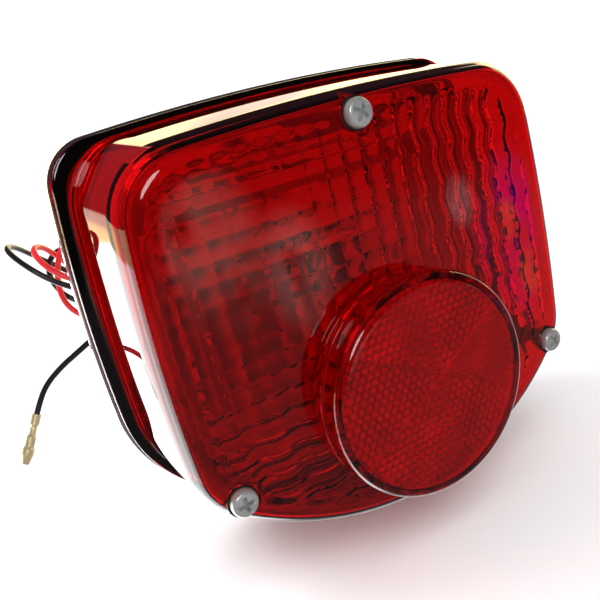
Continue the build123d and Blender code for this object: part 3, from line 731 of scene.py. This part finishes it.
class TAILLIGHT_OT_bulb(bpy.types.Operator):
    """Finish the bulb, its bayonet holder and the inner reflector dish"""

    bl_idname = "taillight.bulb"
    bl_label = "Bulb and holder"

    def execute(self, context):
        # bright anodised aluminium: a soft silver sheen
        show("inner_reflector", metal("bright anodised aluminium", linear("#E4E6EA"), 0.34, grain=0.05))
        # nickel-plated brass: warm silver, slightly clouded
        nickel = metal("nickel-plated brass", linear("#D9D2C4"), 0.2, grain=0.05, tone=0.15)
        for name in ("socket_shell", "socket_rivets", "bulb_base", "bulb_pins"):
            show(name, nickel)
        # zinc-plated strip: cooler and duller than the nickel
        show("socket_collar", metal("zinc-plated strip", linear("#CDD2D2"), 0.25, grain=0.2, tone=0.2))
        # moulded rubber: dull black
        show("socket_boot", plain("black moulded rubber", linear("#121214"), 0.6, grain=0.3))
        # phenolic laminate: streaky brown with a faint gloss
        show("contact_carrier", plain("brown phenolic laminate", linear("#4A2A17"), 0.45, grain=0.1, tone=0.35))
        # drawn brass: bright yellow, slightly tarnished
        show("socket_contacts", metal("drawn brass", linear("#D8B46A"), 0.18, grain=0.05, tone=0.2))
        # spring wire: a clean grey sheen
        contact_spring(metal("bright spring steel", linear("#B9BCC0"), 0.22, grain=0.05))
        # vitrite: black glass with a wet gloss
        show("bulb_insulator", plain("black vitrite glass", linear("#0C0C0E"), 0.15, coat=0.5, grain=0.02))
        # solder: dull grey, lumpy
        show("bulb_contacts", metal("lead-free solder", linear("#B4B6B8"), 0.35, grain=0.4, tone=0.2))
        # tungsten and its supports: dark grey, drawn
        wire = metal("tungsten wire", linear("#74767A"), 0.4, grain=0.3)
        show("bulb_filaments", wire)
        show("filament_supports", wire)
        # blown glass: colourless, with bright rims
        glass = clear_moulding("blown soda-lime glass", linear("#F6F8F8"), (0.97, 0.97, 0.97, 1.0), ior=1.45)
        show("bulb_glass", glass)
        show("bulb_stem", glass)
        return {"FINISHED"}


# ------------------------------------------------------------------ leads
# the middle lines of the two leads, in metres, from the rubber boot to their bullet terminals
BLACK_ROUTE = [
    (-0.014, 0.0104, 0.016), (-0.030, 0.0104, 0.016), (-0.046, 0.014, 0.013), (-0.060, 0.0185, 0.012),
    (-0.071, 0.0215, 0.0145), (-0.0773, 0.024, 0.019), (-0.0799, 0.0275, 0.0252), (-0.0786, 0.0315, 0.0315),
    (-0.0728, 0.035, 0.035), (-0.0645, 0.0335, 0.033), (-0.059, 0.0265, 0.027), (-0.059, 0.0175, 0.022),
    (-0.065, 0.010, 0.0195), (-0.073, 0.008, 0.0225), (-0.0805, 0.009, 0.028), (-0.0864, 0.0115, 0.035),
    (-0.0898, 0.0192, 0.0406), (-0.0878, 0.030, 0.0412), (-0.082, 0.039, 0.035), (-0.074, 0.041, 0.027),
    (-0.066, 0.038, 0.018), (-0.060, 0.031, 0.010), (-0.0605, 0.0215, 0.0045), (-0.067, 0.0135, 0.0045),
    (-0.0745, 0.012, 0.0050), (-0.0807, 0.0145, 0.0016), (-0.0876, 0.018, -0.0023), (-0.0938, 0.021, -0.0070),
    (-0.0978, 0.0228, -0.0122), (-0.1004, 0.0221, -0.0162),
]
RED_ROUTE = [
    (-0.014, 0.0104, 0.011), (-0.030, 0.0104, 0.011), (-0.045, 0.0108, 0.0098), (-0.059, 0.012, 0.009),
    (-0.0695, 0.0135, 0.010), (-0.0764, 0.0155, 0.0135), (-0.0792, 0.0185, 0.0195), (-0.078, 0.022, 0.027),
    (-0.074, 0.0255, 0.0345), (-0.068, 0.025, 0.041), (-0.0605, 0.0195, 0.042), (-0.0565, 0.011, 0.0375),
    (-0.060, 0.0058, 0.030), (-0.0675, 0.0055, 0.0252), (-0.075, 0.0065, 0.0268), (-0.0806, 0.009, 0.0326),
    (-0.0828, 0.015, 0.0382), (-0.0798, 0.0235, 0.0392), (-0.075, 0.0305, 0.0335), (-0.0705, 0.033, 0.026),
    (-0.0665, 0.0315, 0.017), (-0.0645, 0.028, 0.008), (-0.0645, 0.0235, -0.001), (-0.0655, 0.0195, -0.0095),
    (-0.067, 0.0165, -0.018),
]


def lead(name, route, finish):
    """A lead: a round tube along the smooth curve that the route's points steer, ending in its crimped terminal."""
    curve = bpy.data.curves.new(name, "CURVE")
    curve.dimensions = "3D"
    spline = curve.splines.new("NURBS")
    spline.points.add(len(route) - 1)
    for point, place in zip(spline.points, route):
        point.co = (*place, 1.0)
    spline.order_u = 3
    spline.use_endpoint_u = True
    spline.resolution_u = 8
    curve.bevel_depth = 0.001
    curve.bevel_resolution = 5
    curve.use_fill_caps = True
    piece = bpy.data.objects.new(name, curve)
    bpy.context.scene.collection.objects.link(piece)
    curve.materials.append(finish)
    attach(piece, "base")
    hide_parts(name.replace("_wire", "_lead"))


class TAILLIGHT_OT_leads(bpy.types.Operator):
    """Build the black and the red lead, and finish their bullet terminals"""

    bl_idname = "taillight.leads"
    bl_label = "Leads"

    def execute(self, context):
        look = context.scene.tail_looks
        # extruded PVC insulation: smooth, softly glossy
        black = plain("black PVC insulation", linear(look.black_wire), 0.32, coat=0.15, grain=0.06, tone=0.2)
        red = plain("red PVC insulation", linear(look.red_wire), 0.35, coat=0.15, grain=0.06, tone=0.12)
        lead("black_wire", BLACK_ROUTE, black)
        lead("red_wire", RED_ROUTE, red)
        # tin-flashed brass: pale gold under a dull film
        brass = metal("tin-flashed brass", linear("#E8D8A8"), 0.35, film=0.35, grain=0.1, tone=0.3)
        show("black_terminal", brass)
        show("red_terminal", brass)
        return {"FINISHED"}


# ------------------------------------------------------------------ stage
def area_light(name, place, size, power):
    """A square soft light at place, facing the part; sizes in metres, power in watts."""
    data = bpy.data.lights.new(name, "AREA")
    data.size, data.energy = size, power
    lamp = bpy.data.objects.new(name, data)
    lamp.visible_glossy = False
    lamp.location = place
    lamp.rotation_euler = (-Vector(place)).to_track_quat("-Z", "Y").to_euler()
    bpy.context.scene.collection.objects.link(lamp)


def paper_floor(low, colour):
    """A paper sweep: flat under the part and rising smoothly far behind it, as a quarter circle of 6 m radius."""
    flat, curve, around = 3.0, 6.0, 96
    reach = np.concatenate([[1e-5], np.linspace(0.3, flat, 20), np.linspace(3.2, flat + curve, 30)])
    out_by = np.clip(1 - ((reach - flat) / curve) ** 2, 0, 1)
    rise = np.where(reach < flat, 0.0, curve * (1 - np.sqrt(out_by)))
    turn = np.linspace(0, 2 * np.pi, around, endpoint=False)
    height = np.repeat(low + rise[:, None], around, 1)
    verts = np.stack([reach[:, None] * np.cos(turn), reach[:, None] * np.sin(turn), height], -1)
    sweep = bpy.data.meshes.new("paper_sweep")
    sweep.from_pydata(verts.reshape(-1, 3).tolist(), [], grid_faces(len(reach), around, True)[:, ::-1].tolist())
    sweep.polygons.foreach_set("use_smooth", np.ones(len(sweep.polygons), bool))
    floor = bpy.data.objects.new("paper_sweep", sweep)
    bpy.context.scene.collection.objects.link(floor)
    # matt white background paper, with a little light of its own far out, so it stays white to the horizon
    made, tree, out = material("matt white paper")
    place = node(tree, "ShaderNodeTexCoord").outputs["Object"]
    away = node(tree, "ShaderNodeVectorMath", [(0, place)], operation="LENGTH").outputs["Value"]
    lift = node(tree, "ShaderNodeMapRange", [("Value", away)], From_Min=0.3, From_Max=1.0, To_Max=0.3)
    node(
        tree, "ShaderNodeBsdfPrincipled",
        [("Emission Strength", lift.outputs["Result"])], [(0, out.inputs["Surface"])],
        Base_Color=colour, Roughness=0.9, Emission_Color=(1.0, 1.0, 1.0, 1.0),
    )
    sweep.materials.append(made)
    floor.visible_glossy = False


# soft patches of light in front of the part: direction, reach and colour of the light
PATCHES = (
    ((0.127, -0.978, -0.167), 0.17, (1.4, 1.05, 0.9, 1.0)),
    ((0.317, -0.919, -0.234), 0.12, (1.6, 1.2, 1.05, 1.0)),
    ((0.707, -0.680, -0.185), 0.05, (1.8, 1.7, 1.8, 1.0)),
    ((0.790, -0.560, -0.250), 0.15, (0.22, 0.06, 1.0, 1.0)),
    ((0.781, -0.582, -0.228), 0.04, (2.0, 0.8, 0.12, 1.0)),
    ((0.790, -0.532, -0.306), 0.05, (1.9, 0.75, 0.12, 1.0)),
)
SOFT_BOX = (-0.27, -0.90, 0.34)  # draws the bright line along the lens's rounded corner


def studio_world(scene):
    """The room: even light for matt surfaces, and for mirror-like ones a picture of it by direction."""
    world = bpy.data.worlds.new("studio")
    scene.world = world
    world.use_nodes = True
    tree = world.node_tree
    tree.nodes.clear()
    out = node(tree, "ShaderNodeOutputWorld")
    toward = node(tree, "ShaderNodeTexCoord").outputs["Generated"]
    x, y, z = node(tree, "ShaderNodeSeparateXYZ", [(0, toward)]).outputs
    drift = node(tree, "ShaderNodeTexNoise", [("Vector", toward)], Scale=9.0, Detail=3.0).outputs["Fac"]
    streak = node(tree, "ShaderNodeTexNoise", [("Vector", toward)], Scale=3.0, Detail=1.0).outputs["Fac"]
    box_gap = node(tree, "ShaderNodeVectorMath", [(0, toward)], operation="DISTANCE", _1=SOFT_BOX).outputs["Value"]
    # smooth steps from 0 to 1 between two values of a source
    shares = {}
    for name, source, start, end in (
        ("low in front", z, -0.10, -0.22),
        ("broken", drift, 0.3, 0.62),
        ("sunlit wall", streak, 0.42, 0.6),
        ("right", x, -0.1, 0.2),
        ("left ground", x, -0.12, 0.02),
        ("above ground", z, -0.07, -0.055),
        ("behind", y, 0.0, 0.2),
        ("soft box", box_gap, 0.17, 0.15),
    ):
        shares[name] = node(
            tree, "ShaderNodeMapRange", [("Value", source)],
            interpolation_type="SMOOTHSTEP", clamp=True, From_Min=start, From_Max=end,
        ).outputs["Result"]
    # in front: dim, with a few soft patches
    seen = node(
        tree, "ShaderNodeMix", [("Factor", shares["low in front"])],
        data_type="RGBA", _6=(0.05, 0.035, 0.04, 1.0), _7=(0.20, 0.16, 0.17, 1.0),
    )
    for centre, reach, light in PATCHES:
        gap = node(tree, "ShaderNodeVectorMath", [(0, toward)], operation="DISTANCE", _1=centre)
        near = node(
            tree, "ShaderNodeMapRange", [("Value", gap.outputs["Value"])],
            interpolation_type="SMOOTHSTEP", clamp=True, From_Min=reach, From_Max=reach * 0.25,
        )
        patch = node(
            tree, "ShaderNodeMath", [(0, near.outputs["Result"]), (1, shares["broken"])], operation="MULTIPLY",
        )
        links = [("Factor", patch.outputs[0]), (6, seen.outputs[2])]
        seen = node(tree, "ShaderNodeMix", links, data_type="RGBA", _7=light)
    # behind: a warm wall, dark above an edge that rises to the right, and below it a sunlit pale ground
    wall = node(
        tree, "ShaderNodeMix", [("Factor", shares["sunlit wall"])],
        data_type="RGBA", _6=(3.6, 2.9, 1.35, 1.0), _7=(1.5, 1.35, 1.1, 1.0),
    )
    drop = node(tree, "ShaderNodeMath", [(0, shares["right"])], operation="MULTIPLY", _1=-0.35)
    height = node(tree, "ShaderNodeMath", [(0, z), (1, drop.outputs[0])], operation="ADD")
    above = node(
        tree, "ShaderNodeMapRange", [("Value", height.outputs[0])],
        interpolation_type="SMOOTHSTEP", clamp=True, From_Min=0.07, From_Max=0.10,
    )
    links = [("Factor", above.outputs["Result"]), (6, wall.outputs[2])]
    wall = node(tree, "ShaderNodeMix", links, data_type="RGBA", _7=(0.10, 0.04, 0.05, 1.0))
    ground = node(
        tree, "ShaderNodeMix", [("Factor", shares["left ground"])],
        data_type="RGBA", _6=(4.8, 4.7, 4.7, 1.0), _7=(1.1, 1.0, 1.0, 1.0),
    )
    links = [("Factor", shares["above ground"]), (6, ground.outputs[2]), (7, wall.outputs[2])]
    behind = node(tree, "ShaderNodeMix", links, data_type="RGBA")
    links = [("Factor", shares["behind"]), (6, seen.outputs[2]), (7, behind.outputs[2])]
    seen = node(tree, "ShaderNodeMix", links, data_type="RGBA")
    links = [("Factor", shares["soft box"]), (6, seen.outputs[2])]
    seen = node(tree, "ShaderNodeMix", links, data_type="RGBA", _7=(9.0, 9.0, 9.2, 1.0))
    # mirror-like rays are the glossy ones that haven't gone through the acrylic
    path = node(tree, "ShaderNodeLightPath").outputs
    mirror = node(
        tree, "ShaderNodeMath", [(0, path["Is Glossy Ray"]), (1, path["Is Transmission Ray"])],
        operation="SUBTRACT", use_clamp=True,
    )
    even = node(tree, "ShaderNodeBackground", Color=(1.0, 1.0, 1.0, 1.0), Strength=0.84)
    room = node(tree, "ShaderNodeBackground", [("Color", seen.outputs[2])], Strength=1.0)
    links = [(0, mirror.outputs[0]), (1, even.outputs[0]), (2, room.outputs[0])]
    node(tree, "ShaderNodeMixShader", links, [(0, out.inputs["Surface"])])


class TAILLIGHT_OT_stage(bpy.types.Operator):
    """Set up the floor, the studio light and the camera"""

    bl_idname = "taillight.stage"
    bl_label = "Studio"

    def execute(self, context):
        scene = context.scene
        scene.view_settings.view_transform = "Standard"
        paper_floor(CAD_BOX[0][2] - 0.0002, linear(scene.tail_looks.floor))
        studio_world(scene)
        area_light("key", (-0.5, 0.5, 0.8), 0.6, 8.0)
        area_light("fill", (0.1, -0.5, 0.8), 0.7, 2.5)

        # the camera, by its three directions and its place
        camera = bpy.data.cameras.new("camera")
        camera.lens = 37.2
        camera.sensor_width = 36.0
        camera.shift_x, camera.shift_y = -0.027, 0.018
        camera.clip_start = 0.01
        view = bpy.data.objects.new("camera", camera)
        right = Vector((0.84458, -0.47974, -0.23907))
        down = Vector((-0.35047, -0.15903, -0.92259))
        ahead = Vector((0.40490, 0.86296, -0.30293))
        turned = Matrix((right, -down, -ahead)).transposed()
        view.matrix_world = Matrix.Translation((-0.092895, -0.206713, 0.059672)) @ turned.to_4x4()
        scene.collection.objects.link(view)
        scene.camera = view
        return {"FINISHED"}


# ------------------------------------------------------------------ panel
class TAILLIGHT_PT_panel(bpy.types.Panel):
    """Sidebar panel that lists the sizes, the finishes and the pieces"""

    bl_label = "Tail Light"
    bl_idname = "TAILLIGHT_PT_panel"
    bl_space_type = "VIEW_3D"
    bl_region_type = "UI"
    bl_category = "Tail Light"

    def draw(self, context):
        for group in (context.scene.tail_lens, context.scene.tail_looks):
            box = self.layout.box()
            for key in group.bl_rna.properties.keys():
                if key not in {"rna_type", "name"}:
                    box.prop(group, key)
        for operator in OPERATORS:
            self.layout.operator(operator.bl_idname)


OPERATORS = (
    TAILLIGHT_OT_stage,
    TAILLIGHT_OT_leads,
    TAILLIGHT_OT_lens,
    TAILLIGHT_OT_reflector,
    TAILLIGHT_OT_pan,
    TAILLIGHT_OT_screws,
    TAILLIGHT_OT_bulb,
)
CLASSES = (LensSizes, Finishes, *OPERATORS, TAILLIGHT_PT_panel)


def register():
    for each in CLASSES:
        bpy.utils.register_class(each)
    bpy.types.Scene.tail_lens = PointerProperty(type=LensSizes)
    bpy.types.Scene.tail_looks = PointerProperty(type=Finishes)


def unregister():
    del bpy.types.Scene.tail_looks
    del bpy.types.Scene.tail_lens
    for each in reversed(CLASSES):
        bpy.utils.unregister_class(each)


def main():
    register()
    bpy.ops.taillight.stage()
    bpy.ops.taillight.leads()
    bpy.ops.taillight.lens()
    bpy.ops.taillight.reflector()
    bpy.ops.taillight.pan()
    bpy.ops.taillight.screws()
    bpy.ops.taillight.bulb()


if __name__ == "__main__":
    main()
